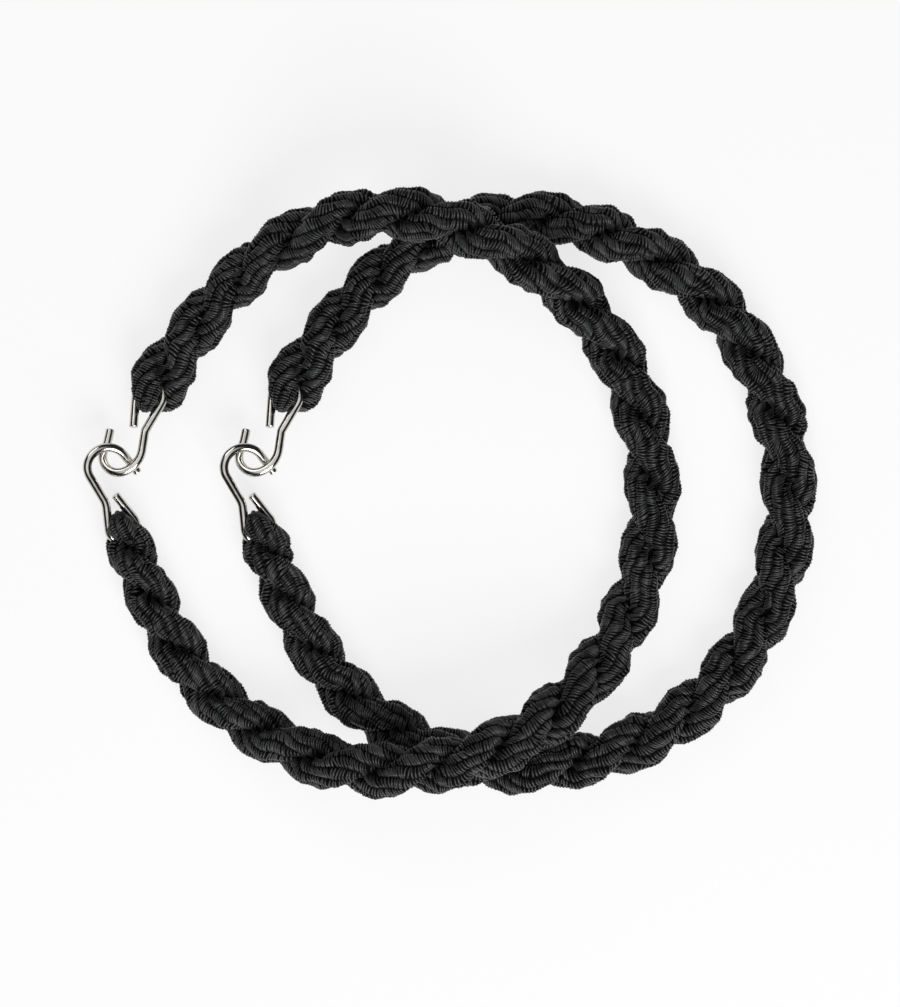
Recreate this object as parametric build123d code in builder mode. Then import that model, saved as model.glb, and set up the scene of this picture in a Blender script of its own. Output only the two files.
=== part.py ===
from build123d import *
from math import atan2, copysign, cos, degrees, radians, sin, tan
import os

# A pair of elastic trouser twists, laid flat with one resting over the other.
# Each is a ring of corded elastic over a rubber core, closed by two S-shaped
# wire hooks. A hook's eye sits in the end of the elastic, which folds through
# it, and the open bends of the two hooks are linked to each other.
# Millimetres, +Z up, the table at Z = 0, +Y towards the upper hooks.

# ---- Driving dimensions ----------------------------------------------------

ROPE_DIAMETER = 8.7  # over the twisted elastic
ROPE_SIDES = 10  # flats round the cover
BIGHT_LENGTH = 2.65  # elastic beyond the centre of each hook eye
BIGHT_CHAMFER = 1.3  # round the end of each bight
CORE_DIAMETER = 3.4  # bundle of rubber threads
CORE_SIDES = 6  # threads round the bundle
CORE_CLEARANCE = 0.1  # between the core and its cover, all round
CORE_SETBACK = 6.0  # from the centre of a hook eye to the end of the core
CROSSING_GAP = 0.3  # between the two twists where one passes over the other
TWIST_SPACING = 21.1  # sideways, from one twist to the other

WIRE_DIAMETER = 1.4
WIRE_SIDES = 12  # flats round the wire
WIRE_CHAMFER = 0.2  # round the cut ends of the wire
EYE_RADIUS = 2.25  # hook eye, to the middle of the wire
SEAT_CLEARANCE = 0.25  # between a hook eye and the elastic round it
LINK_CLEARANCE = 0.4  # height between the two wires where the hooks cross
LINK_RISE = 1.15  # height of the link over the middle of the elastic

# The elastic's route seen from above, measured from the middle of its ring.
# It runs clockwise from the upper hook's eye to the lower hook's eye.
ROUTE = [
    (-36.0, 14.7),
    (-24.0, 34.6),
    (-0.6, 45.0),
    (21.2, 37.7),
    (37.1, 23.1),
    (43.5, -0.5),
    (37.8, -23.0),
    (22.0, -39.0),
    (-1.8, -44.4),
    (-21.1, -37.0),
    (-33.7, -23.2),
    (-40.2, -5.5),
]
OVER = (2, 3, 7, 8)  # points of the upper twist's route that lie over the other

# Where the wires of two linked hooks cross, seen from above. The upper hook's
# wire passes below the lower hook's at the first place, and above it at the second.
LINK_CROSSINGS = ((-42.8, 6.75), (-38.5, 3.85))

# Wire bending tables, from the tail round the eye to the tip of the open bend.
# A row is a length of straight wire, then the radius and the angle of the bend
# after it. A negative angle bends clockwise. Headings are those of the tail.
UPPER_HOOK_HEADING = 90.0
UPPER_HOOK_BENDS = [
    (4.9, EYE_RADIUS, -207.5),
    (4.75, 1.5, 23.0),
    (2.65, 4.0, -70.0),
    (0.0, 2.7, -129.0),
    (0.0, 6.2, 15.0),
    (1.6, 0.0, 0.0),
]
LOWER_HOOK_HEADING = -49.5
LOWER_HOOK_BENDS = [
    (4.7, EYE_RADIUS, -213.0),
    (3.2, 3.5, 25.0),
    (4.2, 2.8, -71.5),
    (0.0, 3.4, -101.0),
    (3.5, 0.0, 0.0),
]

# ---- Worked out from them --------------------------------------------------

rope_radius = ROPE_DIAMETER / 2
core_radius = CORE_DIAMETER / 2
wire_radius = WIRE_DIAMETER / 2
rest_height = rope_radius - ROPE_DIAMETER / 10  # the cover is cut flat at the table
over_height = rest_height + ROPE_DIAMETER + CROSSING_GAP
link_height = rest_height + LINK_RISE
half_link = (WIRE_DIAMETER + LINK_CLEARANCE) / 2
slot_outer = EYE_RADIUS + wire_radius + SEAT_CLEARANCE
slot_inner = EYE_RADIUS - wire_radius - SEAT_CLEARANCE
slot_height = WIRE_DIAMETER + 2 * SEAT_CLEARANCE
UP = Vector(0, 0, 1)


def route_points(shift, lies_over):
    """The points of one twist's route, moved sideways and lifted where it crosses."""
    points = []
    for index, (x, y) in enumerate(ROUTE):
        height = over_height if lies_over and index in OVER else rest_height
        points.append(Vector(x + shift, y, height))
    return points


def arc_radii(points):
    """For each corner of a route, the largest arc that its two runs leave room for."""
    radii = []
    for before, corner, after in zip(points, points[1:], points[2:]):
        turn = (corner - before).get_angle(after - corner)
        shorter_run = min((corner - before).length, (after - corner).length)
        radii.append(0.45 * shorter_run / tan(radians(turn / 2)))
    return radii


def ends_out(points):
    """Unit vectors out of a route's two ends, along its first and last runs."""
    return (points[0] - points[1]).normalized(), (points[-1] - points[-2]).normalized()


def tube(points, beyond, radius, sides, mode=Mode.ADD):
    """Sweeps a many-sided tube along a route, from so far beyond one end to the other."""
    start_out, end_out = ends_out(points)
    start = points[0] + start_out * beyond
    end = points[-1] + end_out * beyond
    with BuildLine() as line:
        FilletPolyline(start, *points[1:-1], end, radius=arc_radii(points))
    with BuildSketch(Plane(origin=start, x_dir=start_out.cross(UP), z_dir=-start_out)) as section:
        RegularPolygon(radius, sides)
    sweep(section.sketch, path=line.line, mode=mode)
    return line.wire().length


def faces_at(piece, *places):
    """The faces of a piece whose centres are nearest to the places."""
    return [piece.faces().sort_by_distance(place)[0] for place in places]


def hook_plane(eye, low, high):
    """The leaning plane through a hook's eye and the two places where it links."""
    normal = (low - eye).cross(high - eye).normalized()
    if normal.Z < 0:
        normal = -normal
    return Plane(origin=eye, x_dir=(1, 0, -normal.X / normal.Z), z_dir=normal)


def moved(point, heading, distance):
    """The point at a distance from another, along a heading in degrees."""
    x, y = point
    return x + distance * cos(radians(heading)), y + distance * sin(radians(heading))


def bend_wire(heading, bends):
    """Draws a hook's centre line in its plane, whose origin is the eye's centre."""
    straight, eye_radius, _ = bends[0]
    start = moved(moved((0, 0), heading + 90, eye_radius), heading, -straight)
    for straight, radius, angle in bends:
        if straight:
            end = moved(start, heading, straight)
            Line(start, end)
            start = end
        if angle:
            side = copysign(90, angle)
            middle = moved(start, heading + side, radius)
            CenterArc(middle, radius, heading - side, angle)
            start = moved(middle, heading - side + angle, radius)
            heading = heading + angle


def write(piece, name):
    """Labels a finished piece and writes its STEP file."""
    piece.part.label = name
    export_step(piece.part, f"parts/{name}.step")


# ---- The two twists --------------------------------------------------------

os.makedirs("parts", exist_ok=True)

for side, shift, lies_over in (
    ("left", -TWIST_SPACING / 2, True),
    ("right", TWIST_SPACING / 2, False),
):
    points = route_points(shift, lies_over)
    print(side, "arc radii", [round(radius, 1) for radius in arc_radii(points)])

    # The two hooks lean in opposite ways, so that their wires pass at the link.
    first, second = (Vector(x + shift, y) for x, y in LINK_CROSSINGS)
    below, above = UP * (link_height - half_link), UP * (link_height + half_link)
    upper_plane = hook_plane(points[0], first + below, second + above)
    lower_plane = hook_plane(points[-1], first + above, second + below)

    # Elastic cover: a faceted sheath, bored for the core and slotted for the eyes.
    start_out, end_out = ends_out(points)
    with BuildPart() as cover:
        length = tube(points, BIGHT_LENGTH, rope_radius, ROPE_SIDES)
        tips = (points[0] + start_out * BIGHT_LENGTH, points[-1] + end_out * BIGHT_LENGTH)
        section = faces_at(cover, tips[0])[0].area
        print(side, "length over all", round(length, 1))
        print(side, "volume over section times length", cover.part.volume / section / length)
        ends = faces_at(cover, *tips)
        chamfer([edge for face in ends for edge in face.edges()], BIGHT_CHAMFER)
        bore_setback = CORE_SETBACK - CORE_CLEARANCE
        tube(points, -bore_setback, core_radius + CORE_CLEARANCE, CORE_SIDES, Mode.SUBTRACT)
        for plane, out in ((upper_plane, start_out), (lower_plane, end_out)):
            way_out = plane.to_local_coords(plane.origin + out)
            heading = degrees(atan2(way_out.Y, way_out.X))
            with BuildSketch(plane):
                Circle(slot_outer)
                with Locations(Location((0, 0, 0), (0, 0, heading))):
                    Rectangle(ROPE_DIAMETER, 2 * ROPE_DIAMETER, align=(Align.MIN, Align.CENTER))
                Circle(slot_inner, mode=Mode.SUBTRACT)
            extrude(amount=slot_height / 2, both=True, mode=Mode.SUBTRACT)
        split(bisect_by=Plane.XY, keep=Keep.TOP)
    write(cover, f"{side}_elastic_cover")

    # Rubber core: one six-sided bundle of threads.
    with BuildPart() as core:
        tube(points, -CORE_SETBACK, core_radius, CORE_SIDES)
    write(core, f"{side}_rubber_core")

    # Hooks: one length of wire each.
    for name, plane, heading, bends in (
        ("upper_hook", upper_plane, UPPER_HOOK_HEADING, UPPER_HOOK_BENDS),
        ("lower_hook", lower_plane, LOWER_HOOK_HEADING, LOWER_HOOK_BENDS),
    ):
        with BuildLine(plane) as wire:
            bend_wire(heading, bends)
        tail, tip = wire.line @ 0, wire.line @ 1
        with BuildPart() as hook:
            with BuildSketch(Plane(origin=tail, z_dir=wire.line % 0)):
                RegularPolygon(wire_radius, WIRE_SIDES)
            sweep(path=wire.line)
            cut_ends = faces_at(hook, tail, tip)
            chamfer([edge for face in cut_ends for edge in face.edges()], WIRE_CHAMFER)
        write(hook, f"{side}_{name}")
        turn = tuple(round(value, 5) for value in plane.z_dir)
        eye = tuple(round(value, 3) for value in plane.origin)
        print(side, name, "wire", round(wire.wire().length, 1), "eye", eye, "axis", turn)
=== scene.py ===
# %% [markdown]
# # A pair of elastic trouser twists
# A trouser twist is a short elastic cord that holds a trouser leg over a boot.
# One knitted elastic is doubled, with a wire hook in each fold, and the doubled
# cord is twisted into a two-ply rope. The two hooks link, which closes the ring.
# The imported model gives the frame: metres, +Z up, the table at Z = 0.

import bmesh
import bpy
import numpy as np
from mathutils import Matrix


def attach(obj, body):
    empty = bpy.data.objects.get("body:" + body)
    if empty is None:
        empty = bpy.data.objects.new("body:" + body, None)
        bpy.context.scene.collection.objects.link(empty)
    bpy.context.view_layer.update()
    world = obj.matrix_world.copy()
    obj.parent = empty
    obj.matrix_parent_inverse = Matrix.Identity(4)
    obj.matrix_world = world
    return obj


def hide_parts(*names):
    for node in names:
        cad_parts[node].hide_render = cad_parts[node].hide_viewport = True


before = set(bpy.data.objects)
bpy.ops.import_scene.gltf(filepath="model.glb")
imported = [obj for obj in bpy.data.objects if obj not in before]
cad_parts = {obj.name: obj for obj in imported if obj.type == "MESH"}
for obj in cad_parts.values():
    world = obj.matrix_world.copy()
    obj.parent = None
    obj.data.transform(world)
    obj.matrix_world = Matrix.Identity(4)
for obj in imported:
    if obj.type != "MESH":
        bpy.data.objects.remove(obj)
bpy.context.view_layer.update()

MM = 0.001  # one millimetre in metres

# %% [markdown]
# ## Camera, table and light
# A flat-lay picture is taken from straight above. A long lens far away keeps the
# near and the far parts of a rope at one scale, as a parallel view would, and
# still gives the other views a natural perspective.

# %% Camera
LENS = 150.0  # millimetres of focal length
SENSOR = 36.0  # millimetres, along the picture's long side
VIEW_HEIGHT = 156.1 * MM  # what the picture's long side takes in at the rope's middle
VIEW_MIDDLE_Y = -1.86 * MM  # where the picture's middle falls
REST_HEIGHT = 3.48 * MM  # middle of a rope that lies on the table

camera_data = bpy.data.cameras.new("camera")
camera_data.lens = LENS
camera_data.sensor_width = SENSOR
camera = bpy.data.objects.new("camera", camera_data)
camera.location = (0.0, VIEW_MIDDLE_Y, REST_HEIGHT + VIEW_HEIGHT * LENS / SENSOR)
bpy.context.scene.collection.objects.link(camera)
bpy.context.scene.camera = camera
bpy.context.scene.view_settings.view_transform = "Standard"
print("camera height", round(camera.location.z, 3), "m")

# %% [markdown]
# A material is a small graph of nodes. One function adds a node, sets its
# properties and fills its inputs, either with a plain value or with a link from
# another node's output. Colours are written as sRGB hex codes and made linear,
# because light adds up in linear values and a hex code doesn't.

# %% Node and colour helpers


def linear(code):
    """An sRGB hex code as linear RGBA.

    Each channel c becomes ((c + 0.055) / 1.055) to the power 2.4, or c / 12.92 if
    it is very dark.
    """
    channels = np.array([int(code[i : i + 2], 16) for i in (1, 3, 5)]) / 255
    bright = ((channels + 0.055) / 1.055) ** 2.4
    return (*np.where(channels > 0.04045, bright, channels / 12.92).tolist(), 1.0)


def add(tree, kind, inputs=(), **settings):
    """Adds a node. Each input, by its name or number, gets a value or another node's output."""
    node = tree.nodes.new(kind)
    for name, value in settings.items():
        setattr(node, name, value)
    for socket, value in dict(inputs).items():
        if isinstance(value, bpy.types.NodeSocket):
            tree.links.new(value, node.inputs[socket])
        else:
            node.inputs[socket].default_value = value
    return node


def new_material(name):
    """An empty material with its output node, as (material, node tree, output)."""
    material = bpy.data.materials.new(name)
    material.use_nodes = True
    material.node_tree.nodes.clear()
    return material, material.node_tree, add(material.node_tree, "ShaderNodeOutputMaterial")


def set_stops(ramp, *stops):
    """Gives a colour ramp its stops. Each is a place from 0 to 1 and a linear colour."""
    for element, (place, colour) in zip(ramp.color_ramp.elements, stops):
        element.position = place
        element.color = colour


print("the hex grey #808080 is", round(linear("#808080")[0], 3), "in linear light")

# %% [markdown]
# The table is matt white paper. Seen by the camera or in the metal it shows mostly
# as plain white, by the Light Path node, and partly as lit paper, so that it keeps
# a soft shadow. Only the lamps and the sky light the twists.

# %% Table
TABLE_HALF = 3.0  # metres, so that no low view sees past its edge
PLAIN_WHITE_SHARE = 0.78  # the rest of what shows is lit paper

paper, tree, output = new_material("matt_white_paper")
path = add(tree, "ShaderNodeLightPath")
seen = path.outputs["Is Camera Ray"]
for ray in ("Is Glossy Ray", "Is Transmission Ray"):
    seen = add(tree, "ShaderNodeMath", {0: seen, 1: path.outputs[ray]}, operation="MAXIMUM").outputs[0]
share = add(tree, "ShaderNodeMath", {0: seen, 1: PLAIN_WHITE_SHARE}, operation="MULTIPLY")
lit = add(tree, "ShaderNodeBsdfDiffuse", {"Color": linear("#f2f2f2")})
plain = add(tree, "ShaderNodeEmission", {"Color": linear("#ffffff"), "Strength": 1.0})
mixed = add(tree, "ShaderNodeMixShader", {0: share.outputs[0], 1: lit.outputs[0], 2: plain.outputs[0]})
tree.links.new(mixed.outputs[0], output.inputs["Surface"])

table_mesh = bpy.data.meshes.new("table")
corners = TABLE_HALF * np.array([(-1, -1, 0), (1, -1, 0), (1, 1, 0), (-1, 1, 0)])
table_mesh.from_pydata(corners.tolist(), [], [(0, 1, 2, 3)])
table_mesh.materials.append(paper)
table = bpy.data.objects.new("table", table_mesh)
bpy.context.scene.collection.objects.link(table)
print("table", table.dimensions[:])

# %% [markdown]
# A light tent gives a pale sky that darkens towards its foot, which draws the thin
# dark lines along polished wire. Two broad lamps stand across from each other, a
# strong one on the side of the lower hooks and a weak one behind the upper ones.
# They light one side of every thread more than the other, and so keep the threads
# apart. They are broad because a small lamp draws ragged white dots on the wire.

# %% Sky
SKY_FOOT = 0.80  # height of a direction, as the sine of its angle, under which the sky is dark
SKY_TOP = 0.92  # and above which it is white

world = bpy.data.worlds.new("light_tent")
bpy.context.scene.world = world
world.use_nodes = True
tree = world.node_tree
tree.nodes.clear()
direction = add(tree, "ShaderNodeTexCoord")
height = add(tree, "ShaderNodeSeparateXYZ", {0: direction.outputs["Generated"]})
sky = add(tree, "ShaderNodeValToRGB", {0: height.outputs["Z"]})
set_stops(sky, (SKY_FOOT, (0.02, 0.02, 0.02, 1.0)), (SKY_TOP, (1.0, 1.0, 1.0, 1.0)))
background = add(tree, "ShaderNodeBackground", {"Color": sky.outputs["Color"], "Strength": 1.0})
add(tree, "ShaderNodeOutputWorld", {"Surface": background.outputs[0]})
print("the sky brightens from", round(np.degrees(np.arcsin(SKY_FOOT))), "degrees up")

# %% Lamps
LAMPS = (  # name, place in metres, width in metres, power in watts
    ("key_lamp", (0.20, -0.60, 0.50), 0.50, 6.6),
    ("fill_lamp", (-0.30, 0.55, 0.50), 0.50, 1.5),
)

for name, place, width, watts in LAMPS:
    lamp_data = bpy.data.lights.new(name, "AREA")
    lamp_data.size = width
    lamp_data.energy = watts
    lamp = bpy.data.objects.new(name, lamp_data)
    lamp.location = place
    lamp.rotation_mode = "QUATERNION"
    lamp.rotation_quaternion = (-lamp.location).to_track_quat("-Z", "Y")
    lamp.visible_camera = False
    bpy.context.scene.collection.objects.link(lamp)
    print(name, round(lamp.location.length, 2), "m away")

# %% [markdown]
# ## The line of each elastic
# A cord's line is one smooth spline whose control points are listed. The
# order and the end condition are set after the points are added, because a spline
# with too few points quietly falls back to straight runs. Where one twist lies
# over the other, four of its points are raised, two for each crossing.

# %% Route
ROUTE = [  # metres, from the upper hook's eye clockwise to the lower hook's eye
    (-0.0360, 0.0147), (-0.0240, 0.0346), (-0.0008, 0.0446), (0.0212, 0.0377),
    (0.0371, 0.0231), (0.0435, -0.0005), (0.0378, -0.0230), (0.0220, -0.0390),
    (-0.0018, -0.0442), (-0.0211, -0.0370), (-0.0337, -0.0232), (-0.0402, -0.0055),
]
OVER = (2, 3, 7, 8)  # the raised points of the twist that lies over the other
OVER_HEIGHT = 12.48 * MM
TWIST_SPACING = 21.1 * MM  # sideways, from one twist to the other
SPLINE_STEPS = 160  # between two control points


def laid_line(name, shift, lies_over):
    """Points along one twist's spline: a clamped NURBS curve of order 3 with the route's
    points, moved sideways and lifted where the twist crosses over, as its control points."""
    curve = bpy.data.curves.new(name, "CURVE")
    curve.dimensions = "3D"
    curve.resolution_u = SPLINE_STEPS
    spline = curve.splines.new("NURBS")
    spline.points.add(len(ROUTE) - 1)
    for index, (x, y) in enumerate(ROUTE):
        z = OVER_HEIGHT if lies_over and index in OVER else REST_HEIGHT
        spline.points[index].co = (x + shift, y, z, 1.0)
    spline.order_u = 3
    spline.use_endpoint_u = True
    holder = bpy.data.objects.new(name, curve)
    bpy.context.scene.collection.objects.link(holder)
    mesh = bpy.data.meshes.new_from_object(holder)
    line = np.empty(len(mesh.vertices) * 3)
    mesh.vertices.foreach_get("co", line)
    bpy.data.objects.remove(holder)
    bpy.data.curves.remove(curve)
    bpy.data.meshes.remove(mesh)
    return line.reshape(-1, 3)


print("control points", len(ROUTE), "of which raised", len(OVER))

# %% [markdown]
# Everything on a rope is placed by how far along its line it is, so the line is
# measured once: a running sum of the gaps between its points, and its directions.
# The same sum seen from above counts a climb over the other twist as level.

# %% Measured lines
SAME_PLACE = 1e-9  # metres, a gap that is no gap


def unit(vectors):
    """Each vector over its own length."""
    return vectors / np.linalg.norm(vectors, axis=-1, keepdims=True)


def running_length(points):
    """The running sum of the gaps between points, from 0."""
    return np.concatenate([[0.0], np.cumsum(np.linalg.norm(np.diff(points, axis=0), axis=1))])


def measured(line):
    """A line without doubled points, with its running length, the same seen from above, its
    whole length and its unit tangents, which are its change over its running length."""
    gaps = np.linalg.norm(np.diff(line, axis=0), axis=1)
    line = line[np.concatenate([[True], gaps > SAME_PLACE])]
    along = running_length(line)
    return {
        "points": line,
        "along": along,
        "plan": running_length(line[:, :2]),
        "length": along[-1],
        "tangents": unit(np.gradient(line, along, axis=0)),
    }


lines = {
    "left": measured(laid_line("left_line", -TWIST_SPACING / 2, True)),
    "right": measured(laid_line("right_line", TWIST_SPACING / 2, False)),
}
for side, line in lines.items():
    print(side, "from eye to eye", round(line["length"] / MM, 1), "mm")

# %% [markdown]
# At each place the line gives three directions, square to each other: its own, one
# across it and level with the table, and one upwards.

# %% Local frame along a line


def frame_at(line, along):
    """The point at each distance along a line, with the directions along it, across it to
    the left, and up. Across is the line's own direction seen from above, turned a quarter
    to the left. Up is forward crossed with across."""
    inside = np.clip(along, 0.0, line["length"])

    def read(values):
        return np.stack([np.interp(inside, line["along"], values[:, i]) for i in range(3)], axis=-1)

    forward = unit(read(line["tangents"]))
    across = unit(np.stack([-forward[..., 1], forward[..., 0], 0.0 * forward[..., 0]], axis=-1))
    return read(line["points"]), forward, across, np.cross(forward, across)


for side, line in lines.items():
    heights = frame_at(line, line["along"])[0][:, 2]
    print(side, "line is", np.round([heights.min() / MM, heights.max() / MM], 1), "mm above the table")

# %% [markdown]
# ## The two plies
# The doubled elastic is twisted to the hand of a letter S. Followed clockwise round
# the ring, each ply climbs over the other from the inside to the outside. A ply isn't
# round: the two press flat against each other, and swell outwards. Its section is half
# an ellipse outside and a blunter half inside, with a deep crease between the plies.
# Steps along the outline are counted as shares of its length, so that the knitted
# ribs, or wales, all come out equally wide.

# %% Section of a ply
CROWN = 4.25 * MM  # from the rope's axis to the outermost place of a ply
BELLY = 2.0 * MM  # from the rope's axis to where a ply is widest
HALF_WIDTH = 2.85 * MM
SEAM_PRESS = 0.25 * MM  # how far each ply presses into the other at the rope's axis
INNER_POWER = 0.52  # of cosine and sine on the inner half: 1 is an ellipse, and less is blunter
OUTLINE_STEPS = 1440

corner_angle = np.linspace(0.0, 2 * np.pi, OUTLINE_STEPS + 1)
cosine = np.cos(corner_angle)
sine = np.sin(corner_angle)
outside = cosine > 0
power = np.where(outside, 1.0, INNER_POWER)
reach = np.where(outside, CROWN - BELLY, BELLY + SEAM_PRESS)
outline_p = BELLY + np.sign(cosine) * np.abs(cosine) ** power * reach
outline_q = HALF_WIDTH * np.sign(sine) * np.abs(sine) ** power
outline_steps = np.hypot(np.diff(outline_p), np.diff(outline_q))
outline_turn = np.concatenate([[0.0], np.cumsum(outline_steps)])
OUTLINE_LENGTH = outline_turn[-1]
outline_turn /= OUTLINE_LENGTH
ahead_p = np.gradient(outline_p, outline_turn)
ahead_q = np.gradient(outline_q, outline_turn)
outline_normal = unit(np.stack([ahead_q, -ahead_p], axis=-1))
print("outline of a ply", round(OUTLINE_LENGTH / MM, 2), "mm")


def outline(turn):
    """Place (p, q) and outward normal on a ply's section, for a share of the way round it.
    p points away from the rope's axis and q across. The normal is the outline's direction,
    turned a quarter to the right."""
    turn = np.mod(turn, 1.0)
    tables = (outline_p, outline_q, outline_normal[:, 0], outline_normal[:, 1])
    return [np.interp(turn, outline_turn, table) for table in tables]


# %% [markdown]
# A soft rope isn't wound evenly. The places where its plies turn over, and how thick
# it is from place to place, were measured along it lobe by lobe and are listed here.

# %% Turns and girth along the rope
HALF_TURNS_AT = np.array([  # millimetres along the line, seen from above
    0.0, 9.3, 19.1, 27.9, 38.5, 47.8, 57.2, 66.1, 76.7, 86.3, 96.6, 107.2, 118.1,
    128.5, 138.5, 148.3, 157.7, 167.8, 176.8, 186.5, 196.6, 205.7, 215.0, 224.4, 233.1, 240.2,
])
HALF_TWISTS = len(HALF_TURNS_AT) - 1
GIRTHS = np.array([  # millimetres along the line, and times the usual thickness
    (0.0, 1.12), (6.0, 1.07), (14.0, 0.99), (24.0, 0.98), (50.0, 0.99), (72.0, 1.03), (126.0, 1.05),
    (162.0, 1.04), (174.0, 1.0), (186.0, 1.03), (206.0, 1.02), (222.0, 1.0), (233.0, 0.94), (240.2, 0.86),
])


def twisted(line, along):
    """Angle that the rope has turned, in radians: half a turn from each listed place to the
    next, seen from above."""
    plan = np.interp(along, line["along"], line["plan"])
    places = HALF_TURNS_AT / HALF_TURNS_AT[-1] * line["plan"][-1]
    return np.pi * np.interp(plan, places, np.arange(HALF_TWISTS + 1))


def girth(line, along):
    """Times the usual thickness, read between the listed places as shares of the length."""
    return np.interp(along / line["length"], GIRTHS[:, 0] / GIRTHS[-1, 0], GIRTHS[:, 1])


print("half turns", HALF_TWISTS, "of", np.round(np.diff(HALF_TURNS_AT).mean(), 1), "mm on average")

# %% [markdown]
# The wales of the real cord lie along the rope, although the plies wind round it,
# because each ply was turned backwards before the two were laid together. So the
# knit drifts round its ply as the ply goes round the rope, at about the rate that
# keeps a wale on the crown from moving sideways. That rate is rounded, so that by
# the end of the rope it adds up to a whole number of half wales. Then the ribs of
# the two plies meet at the second hook as they do at the first.

# %% Wales
WALES = 8  # knitted ribs round a ply
WALE_DEPTH = 0.54 * MM  # of the crease between two wales
CREASE_POWER = 2.6  # more makes the crease narrower and its banks steeper

drift_steps = HALF_TWISTS * WALES
WALE_DRIFT = round(2 * np.pi * CROWN / OUTLINE_LENGTH * drift_steps) / drift_steps
print("drift of the knit", WALE_DRIFT, "turns for each turn of the rope")

# %% [markdown]
# A soft cord has lumps, its ribs sway a little, and its threads bunch up here and
# there. Each of these is a random field: a sum of a dozen or fewer sine waves over
# the surface, drawn once from a seeded generator. That is smooth, closes round the
# ply without a seam, and is the same on each run.

# %% Lumps, sway and bunching
LUMP_SIZE = 0.10 * MM
RIB_SWAY_SIZE = 0.30 * MM
LUMP_STRETCH = 0.317  # metres along the waves from one ply to the other, so that they differ
wander = np.random.default_rng(31)


def waves(count, crests, shortest, longest):
    """A table of waves for a smooth random field: crests round the ply, length along it in
    metres, and phase."""
    turns = wander.integers(-crests, crests + 1, count)
    lengths = wander.uniform(shortest, longest, count)
    phases = wander.uniform(0, 2 * np.pi, count)
    return list(zip(turns, lengths, phases))


def field(table, around, along):
    """The sum of a table's waves over the square root of half their number, which keeps it
    mostly within -1.5 and 1.5."""
    total = sum(np.sin(2 * np.pi * (turns * around + along / length) + phase)
                for turns, length, phase in table)
    return total / np.sqrt(len(table) / 2)


LUMPS = waves(12, 3, 2.6 * MM, 8 * MM)
RIB_SWAY = waves(8, 1, 4 * MM, 12 * MM)
BUNCHING = waves(10, 3, 2.5 * MM, 7 * MM)
sample = field(LUMPS, 0.0, np.linspace(0.0, 0.24, 1000)) * LUMP_SIZE
print("lumps from", round(sample.min() / MM, 2), "to", round(sample.max() / MM, 2), "mm")

# %% [markdown]
# Three more things shape the plies. Where they lie side by side, a dark pocket
# opens between them. At each end the elastic folds through a hook's eye: there the
# section is carried through a quarter turn about its own width and meets the other
# ply, rib to rib. At the upper eye the upper ply narrows to a tongue beside the
# wire, and the lower one shows as a bunch on its other side. And where the rope
# lies on the table, its underside squashes flat.

# %% Pockets, folds and foot
POCKET_DEPTH = 1.5 * MM  # how much half the width of a ply loses there
POCKET_HALF_WIDTH = 0.85 * MM
POCKET_FALL = 5  # how quickly a pocket closes as the plies turn
BIGHT_LENGTH = 2.65 * MM  # elastic beyond the middle of a hook's eye
BIGHT_ARC = 3.6 * MM  # the same, measured over the fold
UPPER_NARROWING = 0.60  # share of its width that the elastic loses in the upper fold
LOWER_NARROWING = 0.50
NARROWING_POWER = 1.5  # more makes it narrow later in the fold
TONGUE_LENGTH = 5.0 * MM  # from the upper eye to where the plies are plain again
TONGUE_WIDTHS = (0.74, 1.10)  # times the usual width, of the upper ply and the lower one
TONGUE_SHIFTS = (0.7 * MM, -0.65 * MM)  # sideways, of the same two
EASE_IN = 4.0 * MM  # from an eye to where lumps, sway and bunching have their full size
SOFT_FOOT = 0.7 * MM  # height over the table under which the elastic squashes


def ease(x):
    """Rises from 0 to 1 as x does, with level ends: 3 x squared less 2 x cubed."""
    x = np.clip(x, 0.0, 1.0)
    return x * x * (3 - 2 * x)


def free_share(line, along):
    """0 at a hook's eye, rising to 1 where the rope is free of it."""
    return ease(np.minimum(along, line["length"] - along) / EASE_IN)


def squashed(height):
    """Heights as they are above the soft foot, and below it the foot's height times e to the
    power of (height - foot) / foot, which nears the table but never reaches it."""
    foot = SOFT_FOOT * np.exp(np.minimum(height - SOFT_FOOT, 0.0) / SOFT_FOOT)
    return np.where(height < SOFT_FOOT, foot, height)


print("a place level with the table is lifted to", round(squashed(0.0) / MM, 2), "mm")

# %% [markdown]
# The surface of a ply is a function of two parameters: how far round the ply, and
# how far along the rope. The skin and every thread of yarn read their places from
# it, so they fit each other.

# %% Surface of a ply


def ply_section(line, ply, around, along, turned, facing, proud):
    """Place and normal on a ply's section, before it is turned into the rope.

    The outline is read at around, plus the drift of the knit and a little sway. A pocket
    narrows it by a bell curve of p times a power of how nearly the plies lie side by side.
    It is pushed in between wales by a power of the distance from a wale's middle, moved out
    by proud and the lumps, and swollen by the girth.
    """
    free = free_share(line, along)
    inside = np.clip(along, 0.0, line["length"])
    own = along + ply * LUMP_STRETCH
    sway = free * RIB_SWAY_SIZE / OUTLINE_LENGTH * field(RIB_SWAY, around, own)
    p, q, normal_p, normal_q = outline(around + WALE_DRIFT * turned / (2 * np.pi) + sway)
    pocket = POCKET_DEPTH * np.exp(-((p / POCKET_HALF_WIDTH) ** 2)) * facing**POCKET_FALL
    q = q * (1 - pocket / HALF_WIDTH)
    wale = np.abs(2 * np.mod(WALES * around, 1.0) - 1)
    rise = proud - WALE_DEPTH * wale**CREASE_POWER + free * LUMP_SIZE * field(LUMPS, around, own)
    size = girth(line, inside)
    return (p + rise * normal_p) * size, (q + rise * normal_q) * size, normal_p, normal_q, size


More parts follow.
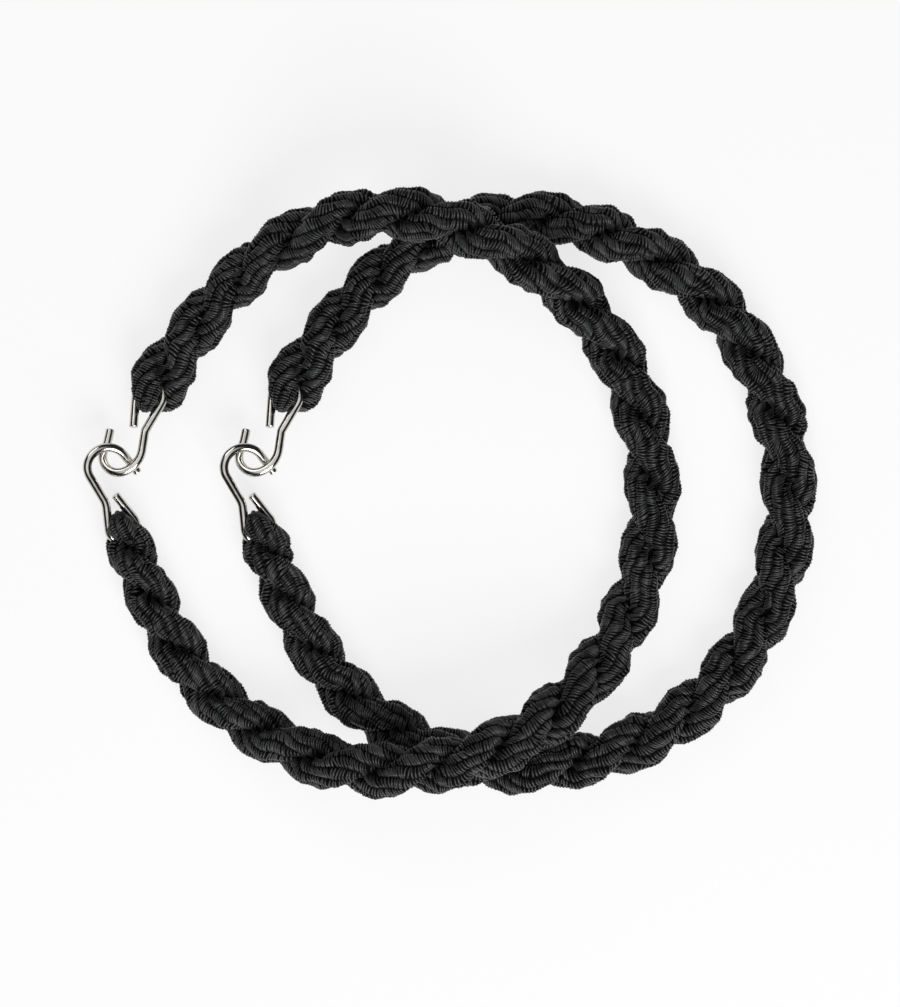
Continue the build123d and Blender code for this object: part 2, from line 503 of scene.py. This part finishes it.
def ply_surface(line, ply, around, along, proud=0.0):
    """Places on a ply and the outward normals there.

    The section is turned about the rope's axis with the twist. Beyond an eye it folds over:
    its p turns from outwards to along the rope by a share of a quarter turn, while q
    narrows. Near the upper eye q is also scaled and shifted to make the tongue.
    """
    inside = np.clip(along, 0.0, line["length"])
    centre, forward, across, up = frame_at(line, inside)
    turned = twisted(line, inside)
    angle = np.pi / 2 - turned + ply * np.pi
    facing = np.abs(np.cos(angle))
    p, q, normal_p, normal_q, size = ply_section(line, ply, around, along, turned, facing, proud)

    beyond = along - inside
    fold = np.clip(np.abs(beyond) / BIGHT_ARC, 0.0, 1.0) * np.pi / 2
    narrowing = np.where(beyond < 0, UPPER_NARROWING, LOWER_NARROWING)
    apart = (1 - ease(inside / TONGUE_LENGTH)) * np.cos(fold) ** 2
    q = q * (1 - narrowing * np.sin(fold) ** NARROWING_POWER) * (1 + (TONGUE_WIDTHS[ply] - 1) * apart)
    squeeze = BIGHT_LENGTH / CROWN / size

    out = across * np.cos(angle)[..., None] + up * np.sin(angle)[..., None]
    over = up * np.cos(angle)[..., None] - across * np.sin(angle)[..., None]
    away = forward * np.sign(beyond)[..., None]
    place = (centre + across * (TONGUE_SHIFTS[ply] * apart)[..., None]
             + out * (p * np.cos(fold))[..., None] + over * q[..., None]
             + away * (p * squeeze * np.sin(fold))[..., None])
    normal = (out * (normal_p * np.cos(fold))[..., None] + over * normal_q[..., None]
              + away * (normal_p * np.sin(fold))[..., None])
    place[..., 2] = squashed(place[..., 2])
    return place, unit(normal)


print("left rope's start", np.round(ply_surface(lines["left"], 0, np.zeros(1), np.zeros(1))[0] / MM, 1), "mm")

# %% [markdown]
# A mesh is filled from whole arrays. One function takes any number of tubes, each a
# grid of rings, joins neighbours into four-sided faces and closes each end with one
# flat face. A second coordinate set, the UV map, runs round and along each tube.

# %% Meshes from grids


def tubes(name, points, caps=True, uv_size=(1.0, 1.0)):
    """A mesh of tubes. points[i, j, k] is tube i, ring j and place k round it. The four places
    (j, k), (j, k + 1), (j + 1, k + 1) and (j + 1, k) make a face. u is the share of the way
    round and v the share of the way along, times uv_size."""
    count, rings, around, _ = points.shape
    index = np.arange(count * rings * around).reshape(count, rings, around)
    after = np.roll(index, -1, axis=2)
    faces = np.stack([index[:, :-1], after[:, :-1], after[:, 1:], index[:, 1:]], axis=-1)
    loops = faces.ravel()
    totals = np.full(loops.size // 4, 4)

    u = np.broadcast_to((np.arange(around) / around)[None, None, :], index.shape)
    next_u = np.broadcast_to(((np.arange(around) + 1) / around)[None, None, :], index.shape)
    v = np.broadcast_to(np.linspace(0, 1, rings)[None, :, None], index.shape)
    uv = np.stack([u, v], axis=-1)
    uv_after = np.stack([next_u, v], axis=-1)
    corner_uv = np.stack([uv[:, :-1], uv_after[:, :-1], uv_after[:, 1:], uv[:, 1:]], axis=-2).reshape(-1, 2)
    if caps:
        ends = np.concatenate([index[:, 0, ::-1], index[:, -1, :]])
        end_uv = np.concatenate([uv[:, 0, ::-1], uv[:, -1, :]])
        loops = np.concatenate([loops, ends.ravel()])
        totals = np.concatenate([totals, np.full(len(ends), around)])
        corner_uv = np.concatenate([corner_uv, end_uv.reshape(-1, 2)])

    starts = np.concatenate([[0], np.cumsum(totals)[:-1]])
    mesh = bpy.data.meshes.new(name)
    mesh.vertices.add(points.size // 3)
    mesh.vertices.foreach_set("co", points.astype(np.float32).ravel())
    mesh.loops.add(len(loops))
    mesh.loops.foreach_set("vertex_index", loops.astype(np.int32))
    mesh.polygons.add(len(totals))
    mesh.polygons.foreach_set("loop_start", starts.astype(np.int32))
    mesh.polygons.foreach_set("loop_total", totals.astype(np.int32))
    mesh.polygons.foreach_set("use_smooth", totals == 4)
    layer = mesh.uv_layers.new(name="strand")
    layer.uv.foreach_set("vector", (corner_uv * np.array(uv_size)).astype(np.float32).ravel())
    mesh.update(calc_edges=True)
    return mesh


def piece(name, mesh, material, body):
    """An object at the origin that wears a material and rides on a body."""
    mesh.materials.append(material)
    made = bpy.data.objects.new(name, mesh)
    bpy.context.scene.collection.objects.link(made)
    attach(made, body)
    return made


def ring_angles(sides):
    """Angles of evenly spaced places round a ring."""
    return np.arange(sides) * 2 * np.pi / sides


print("corners of a ring of six", np.round(np.degrees(ring_angles(6))), "degrees")

# %% [markdown]
# ## Black elastic: materials
# The cover is spun-dyed black polyester, knitted from textured yarn. Dyed black
# isn't black to the eye: it is a dark neutral grey that goes paler where the crimped
# filaments catch the light. The ground between the threads is black polyester too,
# but its colour is painted near black, as painted shade in the gaps between threads
# and in the creases between wales, and it is duller. IOR 1.5 suits polyester, and a
# rough surface has no sharp highlight.

# %% Elastic materials
PATCH_SIZE = 2.2 * MM  # of the paler and darker places in the dye and the wear
FIBRE_BUMP = 0.03 * MM  # filaments are finer, but finer ones wouldn't show
GROUND_GRAIN = (1 / (0.15 * MM), 1 / (0.4 * MM), 1.0)  # loops 0.15 mm wide and 0.4 mm long
YARN_GRAIN = (16.0, 2.5, 1.0)  # filaments round a thread, and waves of their crimp along it
YARN_NOISE_TURN = 0.15  # radians, so that the noise's own grid doesn't line up with the thread


def knitted(name, dark, pale, grain, noise_turn, finish):
    """Spun-dyed polyester: a base colour that wanders between two greys over a few
    millimetres, with a fine fibre bump that follows the strand."""
    material, tree, output = new_material(name)
    place = add(tree, "ShaderNodeTexCoord").outputs["Object"]
    patches = add(tree, "ShaderNodeTexNoise", {
        "Vector": place, "Scale": 1 / PATCH_SIZE, "Detail": 4.0, "Roughness": 0.62})
    colour = add(tree, "ShaderNodeValToRGB", {0: patches.outputs["Fac"]})
    set_stops(colour, (0.38, linear(dark)), (0.64, linear(pale)))
    strand = add(tree, "ShaderNodeUVMap", uv_map="strand").outputs[0]
    lengthwise = add(tree, "ShaderNodeMapping", {
        "Vector": strand, "Rotation": (0, 0, noise_turn), "Scale": grain})
    fibres = add(tree, "ShaderNodeTexNoise", {"Vector": lengthwise.outputs[0], "Scale": 1.0, "Detail": 2.0})
    bump = add(tree, "ShaderNodeBump", {
        "Height": fibres.outputs["Fac"], "Strength": 0.7, "Distance": FIBRE_BUMP})
    shader = add(tree, "ShaderNodeBsdfPrincipled", {
        "Base Color": colour.outputs["Color"], "Normal": bump.outputs["Normal"],
        "IOR": 1.5, "Sheen Roughness": 0.4, **finish})
    tree.links.new(shader.outputs[0], output.inputs["Surface"])
    return material


# The ground's greys are partly the black of the polyester and partly painted shade: they are set much darker
# than the yarn's, so that the gaps between threads and the creases between wales read as shadow.
shade_painted_ground = knitted("polyester_knit_ground_black_painted_shade", "#030303", "#090909", GROUND_GRAIN, 0.0, {
    "Roughness": 0.9, "Specular IOR Level": 0.08})
yarn = knitted("textured_polyester_yarn_black", "#0f1110", "#393b3a", YARN_GRAIN, YARN_NOISE_TURN, {
    "Roughness": 0.38, "Specular IOR Level": 0.5, "Sheen Weight": 0.08})
print("materials", shade_painted_ground.name, "and", yarn.name)

# %% [markdown]
# ## The plies and their cover yarn
# First the two plies of a twist are made as one closed skin, because they are one
# cord that folds back at each hook. Its grid lines follow the wales, so that the
# creases between wales fall on them. The two grids meet only at their rims, beyond
# the eyes, and there they are welded.

# %% Plies
AROUND = 64  # places round a ply, eight to a wale
RINGS = 700  # along a ply
GROUND_DEPTH = 0.07 * MM  # of the skin under the surface that the yarn follows
WELD_GAP = 0.005 * MM  # rims that are nearer than this are one
BODIES = {"left": "left_twist", "right": "right_twist"}


def plies(side):
    """Both plies of a twist as one skin: two grids on the surface of a ply, from beyond one
    eye to beyond the other, welded rim to rim."""
    line = lines[side]
    stations = np.linspace(-BIGHT_ARC, line["length"] + BIGHT_ARC, RINGS)
    along, around = np.meshgrid(stations, np.arange(AROUND) / AROUND, indexing="ij")
    points = np.stack([ply_surface(line, ply, around, along, -GROUND_DEPTH)[0] for ply in (0, 1)])
    mesh = tubes(f"{side}_elastic_plies", points, caps=False, uv_size=(OUTLINE_LENGTH, line["length"]))
    skin = bmesh.new()
    skin.from_mesh(mesh)
    skin.verts.ensure_lookup_table()
    rims = []
    for ring in (0, RINGS - 1, RINGS, 2 * RINGS - 1):
        rims += skin.verts[ring * AROUND : (ring + 1) * AROUND]
    bmesh.ops.remove_doubles(skin, verts=rims, dist=WELD_GAP)
    bmesh.ops.recalc_face_normals(skin, faces=skin.faces)
    skin.to_mesh(mesh)
    skin.free()
    return piece(f"{side}_elastic_plies", mesh, shade_painted_ground, BODIES[side])


skins = {side: plies(side) for side in lines}
for side, skin in skins.items():
    print(side, "plies", len(skin.data.polygons), "faces")

# %% [markdown]
# Over the skin lies the cover yarn. Each thread crosses one wale at a slant, bows
# over it and dives into the creases at both sides. Every thread is its own small
# tube with few faces, and only the side of a ply that shows carries them, because
# the rest lies against the other ply. Small differences in place, slant, thickness
# and height keep the rows from looking printed.

# %% Sizes of the cover yarn
YARN_PITCH = 0.42 * MM  # from one thread of a wale to the next
THREAD_RADIUS = 0.148 * MM
THREAD_FLATNESS = 0.9  # height over width
THREAD_SINK = 0.075 * MM  # of its middle under the surface of the ply
THREAD_DIVE = 0.10 * MM  # how much deeper its ends go
THREAD_SPAN = 1.04  # length across the wale, over the wale's width
THREAD_BOW = 0.16  # how far its middle runs ahead of its ends, over half a wale
END_THINNING = 0.88  # share of its section that a thread loses at its ends
THREAD_RINGS = 7
THREAD_SIDES = 6
SHOWN_SHARE = 0.40  # of the outline, to each side of the crown
FOLDED_SHARE = 0.9  # of each fold that carries yarn
ROW_SHIFT = 0.37  # of the pitch, from one wale's threads to the next wale's
SLANT = 0.28  # along the rope for each step across it
SLANT_WAVE = 0.30  # how much that changes from one bunch of threads to the next
SLANT_CRESTS = 3  # times as many waves round the ply as the bunching has
SLANT_PACE = 0.7  # times as many along it
BUNCH_SIZE = 0.10 * MM  # how far threads move together along the rope
BUNCH_STRETCH = 0.211  # metres along the waves from one ply to the other
SLANT_STRETCH = 0.173
PLACE_SCATTER = 0.045 * MM  # of each thread by itself
SLANT_SCATTER = 0.10
THICKNESS_SCATTER = 0.11
HEIGHT_SCATTER = 0.025 * MM
TABLE_GAP = 0.02 * MM  # the lowest that a thread may lie
chance = np.random.default_rng(12)
print("threads of one wale", round(lines["right"]["length"] / YARN_PITCH))

# %% Cover yarn


def thread_places(line, ply):
    """For each thread that shows, in order along the rope: the share of the way round the ply
    and the distance along the rope of its middle."""
    end = BIGHT_ARC * FOLDED_SHARE
    stations = np.arange(-end, line["length"] + end, YARN_PITCH)
    wale, station = np.meshgrid(np.arange(WALES), stations, indexing="ij")
    middle = (wale + 0.5) / WALES
    free = free_share(line, station)
    row = YARN_PITCH * np.mod(ROW_SHIFT * wale, 1.0)
    station = station + row + chance.normal(0, PLACE_SCATTER, station.shape)
    station = station + free * BUNCH_SIZE * field(BUNCHING, middle, station + ply * BUNCH_STRETCH)
    drift = WALE_DRIFT * twisted(line, np.clip(station, 0, line["length"])) / (2 * np.pi)
    shown = np.abs(np.mod(middle + drift + 0.5, 1.0) - 0.5) < SHOWN_SHARE
    order = np.argsort(station[shown], kind="stable")
    return middle[shown][order], station[shown][order]


def thread_tubes(line, ply):
    """Rings of every thread over one ply.

    With t from -1 to 1 across a wale, a thread's middle line lies at half a wale times
    (slant times t, plus bow times 1 less t squared) along the rope from the thread's place.
    At t = 0 it is raised by its own lift, less the sink. Towards the ends the lift fades
    and the thread dives by t to the fourth. Its radius is the thread's, times the root of
    1 less END_THINNING times t to the fourth.
    """
    middle, station = thread_places(line, ply)
    count = len(middle)
    leaning = field(BUNCHING[::2], SLANT_CRESTS * middle, SLANT_PACE * station + ply * SLANT_STRETCH)
    slant = SLANT + SLANT_WAVE * leaning + chance.normal(0, SLANT_SCATTER, count)
    thickness = 1 + chance.normal(0, THICKNESS_SCATTER, count)
    lift = chance.normal(0.0, HEIGHT_SCATTER, count)
    t = np.linspace(-1, 1, THREAD_RINGS)[None, :]
    half_wale = OUTLINE_LENGTH / WALES / 2
    around = middle[:, None] + t * 0.5 / WALES * THREAD_SPAN
    along = station[:, None] + half_wale * (slant[:, None] * t + THREAD_BOW * (1 - t * t))
    proud = lift[:, None] * (1 - t * t) - THREAD_SINK - THREAD_DIVE * t**4
    centre, normal = ply_surface(line, ply, around, along, proud)
    course = unit(np.gradient(centre, axis=1))
    beside = unit(np.cross(normal, course))
    lifted = np.cross(course, beside)
    radius = THREAD_RADIUS * thickness[:, None] * np.sqrt(1 - END_THINNING * t**4)
    turn = ring_angles(THREAD_SIDES)
    ring = (beside[:, :, None] * np.cos(turn)[:, None]
            + lifted[:, :, None] * THREAD_FLATNESS * np.sin(turn)[:, None])
    points = centre[:, :, None] + ring * radius[..., None, None]
    points[..., 2] = np.maximum(points[..., 2], TABLE_GAP)
    return points


def cover_yarn(side):
    """The threads over both plies of a twist, as four pieces: each ply's first half along the
    rope and its second, so that no piece has too many faces."""
    made = []
    for ply in (0, 1):
        points = thread_tubes(lines[side], ply)
        half = len(points) // 2
        for part in (points[:half], points[half:]):
            name = f"{side}_cover_yarn_{len(made) + 1}"
            made.append(piece(name, tubes(name, part), yarn, BODIES[side]))
    return made


threads = {side: cover_yarn(side) for side in lines}
for side, made in threads.items():
    print(side, "cover yarn", [len(part.data.polygons) for part in made], "faces")

# %% [markdown]
# ## Rubber
# Inside each ply runs a bundle of rubber threads, which gives the cord its stretch.
# It is hidden, but a cut model or a printed one shows it, so it follows its ply.
# Extruded natural rubber is left undyed: a warm tan, matt and patchy with the talc
# that keeps the threads from sticking together.

# %% Rubber material
TALC_PATCH = 1.5 * MM

rubber, tree, output = new_material("extruded_natural_rubber_undyed")
place = add(tree, "ShaderNodeTexCoord").outputs["Object"]
talc = add(tree, "ShaderNodeTexNoise", {"Vector": place, "Scale": 1 / TALC_PATCH, "Detail": 4.0})
tan = add(tree, "ShaderNodeValToRGB", {0: talc.outputs["Fac"]})
set_stops(tan, (0.0, linear("#94795a")), (1.0, linear("#ab9272")))
shader = add(tree, "ShaderNodeBsdfPrincipled", {"Base Color": tan.outputs[0], "Roughness": 0.6, "IOR": 1.52})
tree.links.new(shader.outputs[0], output.inputs["Surface"])
print("material", rubber.name)

# %% Rubber threads
RUBBER_RADIUS = 1.05 * MM  # of a bundle
RUBBER_OFFSET = 1.75 * MM  # from the rope's axis to the middle of a bundle
RUBBER_SETBACK = 5.0 * MM  # from a hook's eye to the end of a bundle
RUBBER_LOBES = 6
LOBE_SHARE = 0.1  # of the radius
RUBBER_RINGS = 320
RUBBER_SIDES = 24


def rubber_threads(side):
    """Two lobed bundles, one along the middle of each ply. The radius swells and shrinks six
    times round, by the size of a cosine, like six threads held together."""
    line = lines[side]
    stations = np.linspace(RUBBER_SETBACK, line["length"] - RUBBER_SETBACK, RUBBER_RINGS)
    along, turn = np.meshgrid(stations, ring_angles(RUBBER_SIDES), indexing="ij")
    centre, forward, across, up = frame_at(line, along)
    radius = RUBBER_RADIUS * (1 - LOBE_SHARE + LOBE_SHARE * np.abs(np.cos(RUBBER_LOBES / 2 * turn)))
    ring = across * np.cos(turn)[..., None] + up * np.sin(turn)[..., None]
    bundles = []
    for ply in (0, 1):
        angle = np.pi / 2 - twisted(line, along) + ply * np.pi
        out = across * np.cos(angle)[..., None] + up * np.sin(angle)[..., None]
        bundles.append(centre + out * RUBBER_OFFSET + ring * radius[..., None])
    mesh = tubes(f"{side}_rubber_threads", np.stack(bundles))
    return piece(f"{side}_rubber_threads", mesh, rubber, BODIES[side])


cores = {side: rubber_threads(side) for side in lines}
for side, core in cores.items():
    print(side, "rubber", len(core.data.polygons), "faces")

# %% [markdown]
# ## Hooks
# Each hook is one length of round wire, bent on a former: a tail, an eye round the
# elastic, a neck and an open bend. A bending table says it all: a length of straight
# wire, then a radius and an angle, row by row. The two hooks of a twist lean in
# opposite ways, so that their wires pass over and under each other at the link.

# %% Bending tables
EYE_RADIUS = 2.25  # millimetres, as in the tables
LINK_HEIGHT = REST_HEIGHT + 1.15 * MM
HALF_LINK = 0.9 * MM  # from the link's height to the middle of either wire
LINK_CROSSINGS = np.array([(-42.8, 6.75), (-38.5, 3.85)]) * MM  # where the two wires pass
HOOKS = {
    "upper_hook": {
        "route_point": 0,  # where its eye sits
        "passes": (-1, 1),  # below the other wire at the first crossing, and above it at the second
        "heading": 90.0,  # of its tail, in degrees
        "bends": [  # straight wire and bend radius in millimetres, and the bend in degrees
            (4.9, EYE_RADIUS, -207.5),
            (4.75, 1.5, 23.0),
            (2.65, 4.0, -70.0),
            (0.0, 2.7, -129.0),
            (0.0, 6.2, 15.0),
            (1.6, 0.0, 0.0),
        ],
    },
    "lower_hook": {
        "route_point": -1,
        "passes": (1, -1),
        "heading": -49.5,
        "bends": [
            (4.7, EYE_RADIUS, -213.0),
            (3.2, 3.5, 25.0),
            (4.2, 2.8, -71.5),
            (0.0, 3.4, -101.0),
            (3.5, 0.0, 0.0),
        ],
    },
}
for name, hook in HOOKS.items():
    print(name, "turns through", sum(abs(bend[2]) for bend in hook["bends"]), "degrees")

# %% Bent line
WIRE_STEP = 0.12  # millimetres between two rings
FEWEST_STEPS = 8  # round a bend


def ahead_of(turn):
    """The flat unit vector at an angle."""
    return np.array([np.cos(turn), np.sin(turn)])


def left_of(turn):
    """The flat unit vector a quarter turn to the left of an angle."""
    return np.array([-np.sin(turn), np.cos(turn)])


def bent_line(heading, bends):
    """A flat line from a bending table, about the middle of the eye, and the heading at each
    point. It starts beside the eye, a tail's length back. A straight run goes on along the
    heading. A bend is an arc about a point one radius to its inner side."""
    turn = np.radians(heading)
    start = left_of(turn) * bends[0][1] - ahead_of(turn) * bends[0][0]
    places = []
    headings = []
    for straight, radius, angle in bends:
        if straight:
            steps = np.arange(0.0, straight, WIRE_STEP)[:, None]
            places.append(start + steps * ahead_of(turn))
            headings.append(np.full(len(steps), turn))
            start = start + straight * ahead_of(turn)
        if angle:
            bend = np.radians(angle)
            count = max(FEWEST_STEPS, int(abs(bend) * radius / WIRE_STEP))
            now = turn + np.linspace(0.0, bend, count, endpoint=False)
            inner = radius * np.sign(bend)
            middle = start + inner * left_of(turn)
            places.append(middle - inner * left_of(now).T)
            headings.append(now)
            turn = turn + bend
            start = middle - inner * left_of(turn)
    places.append(start[None])
    headings.append(np.array([turn]))
    return np.concatenate(places) * MM, np.concatenate(headings)


for name, hook in HOOKS.items():
    reach = bent_line(hook["heading"], hook["bends"])[0].max(axis=0) / MM
    print(name, "reaches", np.round(reach, 1), "mm from its eye, right and up")

# %% Wire
WIRE_RADIUS = 0.7 * MM
WIRE_SIDES = 28
CUT_SHARE = 0.80  # of the radius that is left at a cut end
CUT_ROUNDING = 0.12 * MM  # of wire over which it is rounded off


def hook_axes(eye, low, high):
    """The two directions of a hook's plane, through the middle of its eye and the two places
    where the wires pass, and the axis square to it, which is their cross product."""
    axis = unit(np.cross(low - eye, high - eye))
    axis = axis * np.sign(axis[2])
    first = unit(np.array([1.0, 0.0, -axis[0] / axis[2]]))
    return first, np.cross(axis, first), axis


def wire(side, name):
    """A round wire along a bent line: rings about it, square to its heading. Near a cut end the
    radius grows with the root of the distance from it. Returns the mesh and its length."""
    hook = HOOKS[name]
    aside = np.array([-TWIST_SPACING / 2 if side == "left" else TWIST_SPACING / 2, 0.0, 0.0])
    eye = np.array([*ROUTE[hook["route_point"]], REST_HEIGHT]) + aside
    crossings = [np.array([*place, LINK_HEIGHT + sign * HALF_LINK]) + aside
                 for place, sign in zip(LINK_CROSSINGS, hook["passes"])]
    first, second, axis = hook_axes(eye, *crossings)
    flat, headings = bent_line(hook["heading"], hook["bends"])
    centre = eye + flat[:, :1] * first + flat[:, 1:] * second
    sideways = -np.sin(headings)[:, None] * first + np.cos(headings)[:, None] * second
    turn = ring_angles(WIRE_SIDES)
    ring = sideways[:, None] * np.cos(turn)[:, None] + axis * np.sin(turn)[:, None]
    along = measured(centre)["along"]
    gap = np.minimum(along, along[-1] - along)
    rounding = np.sqrt(np.clip(gap / CUT_ROUNDING, 0, 1))
    radius = WIRE_RADIUS * (CUT_SHARE + (1 - CUT_SHARE) * rounding)
    points = centre[:, None] + ring * radius[:, None, None]
    mesh = tubes(f"{side}_{name}_wire", points[None], uv_size=(2 * np.pi * WIRE_RADIUS, along[-1]))
    return mesh, along[-1]


# %% [markdown]
# Spring-steel wire is drawn through dies, which leaves very fine lines along it, and
# then plated with nickel: a warm pale grey, bright, and a little uneven. A metal
# keeps Blender's usual IOR, and its colour is its reflection.

# %% Nickel plate
DIE_LINE = 0.08 * MM  # width, coarser than real so that it shows
DIE_LINE_LENGTH = 3.0 * MM
PLATE_PATCH = 1.2 * MM  # of brighter and duller plating
PLATE_ROUGHNESS = (0.10, 0.16)  # polished, then handled

nickel, tree, output = new_material("nickel_plated_drawn_steel_wire")
strand = add(tree, "ShaderNodeUVMap", uv_map="strand").outputs[0]
drawn = add(tree, "ShaderNodeMapping", {"Vector": strand, "Scale": (1 / DIE_LINE, 1 / DIE_LINE_LENGTH, 1.0)})
die_lines = add(tree, "ShaderNodeTexNoise", {"Vector": drawn.outputs[0], "Scale": 1.0, "Detail": 2.0})
place = add(tree, "ShaderNodeTexCoord").outputs["Object"]
patches = add(tree, "ShaderNodeTexNoise", {"Vector": place, "Scale": 1 / PLATE_PATCH, "Detail": 4.0})
tone = add(tree, "ShaderNodeValToRGB", {0: patches.outputs["Fac"]})
set_stops(tone, (0.3, linear("#b9b6b0")), (0.7, linear("#dad8d3")))
rough = add(tree, "ShaderNodeMapRange", {
    "Value": patches.outputs["Fac"], "From Min": 0.3, "From Max": 0.7,
    "To Min": PLATE_ROUGHNESS[0], "To Max": PLATE_ROUGHNESS[1]})
bump = add(tree, "ShaderNodeBump", {
    "Height": die_lines.outputs["Fac"], "Strength": 0.08, "Distance": 0.005 * MM})
shader = add(tree, "ShaderNodeBsdfPrincipled", {
    "Base Color": tone.outputs[0], "Metallic": 1.0, "Roughness": rough.outputs[0],
    "Normal": bump.outputs["Normal"]})
tree.links.new(shader.outputs[0], output.inputs["Surface"])
print("material", nickel.name)

# %% Hooks
for side in lines:
    for name in HOOKS:
        mesh, length = wire(side, name)
        hook = piece(mesh.name, mesh, nickel, f"{side}_{name}")
        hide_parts(f"{side}_{name}")
        print(side, name, "wire length", round(length / MM, 1), "mm")

# %% [markdown]
# ## What stands for what
# The two skins stand for the plain elastic solids, and the bundles for the plain
# cores, and those plain parts are hidden.

for side, line in lines.items():
    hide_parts(f"{side}_elastic_cover")
    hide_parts(f"{side}_rubber_core")

# %% [markdown]
# ## Finish
# The last line brings the scene up to date.

# %% Finish
bpy.context.view_layer.update()
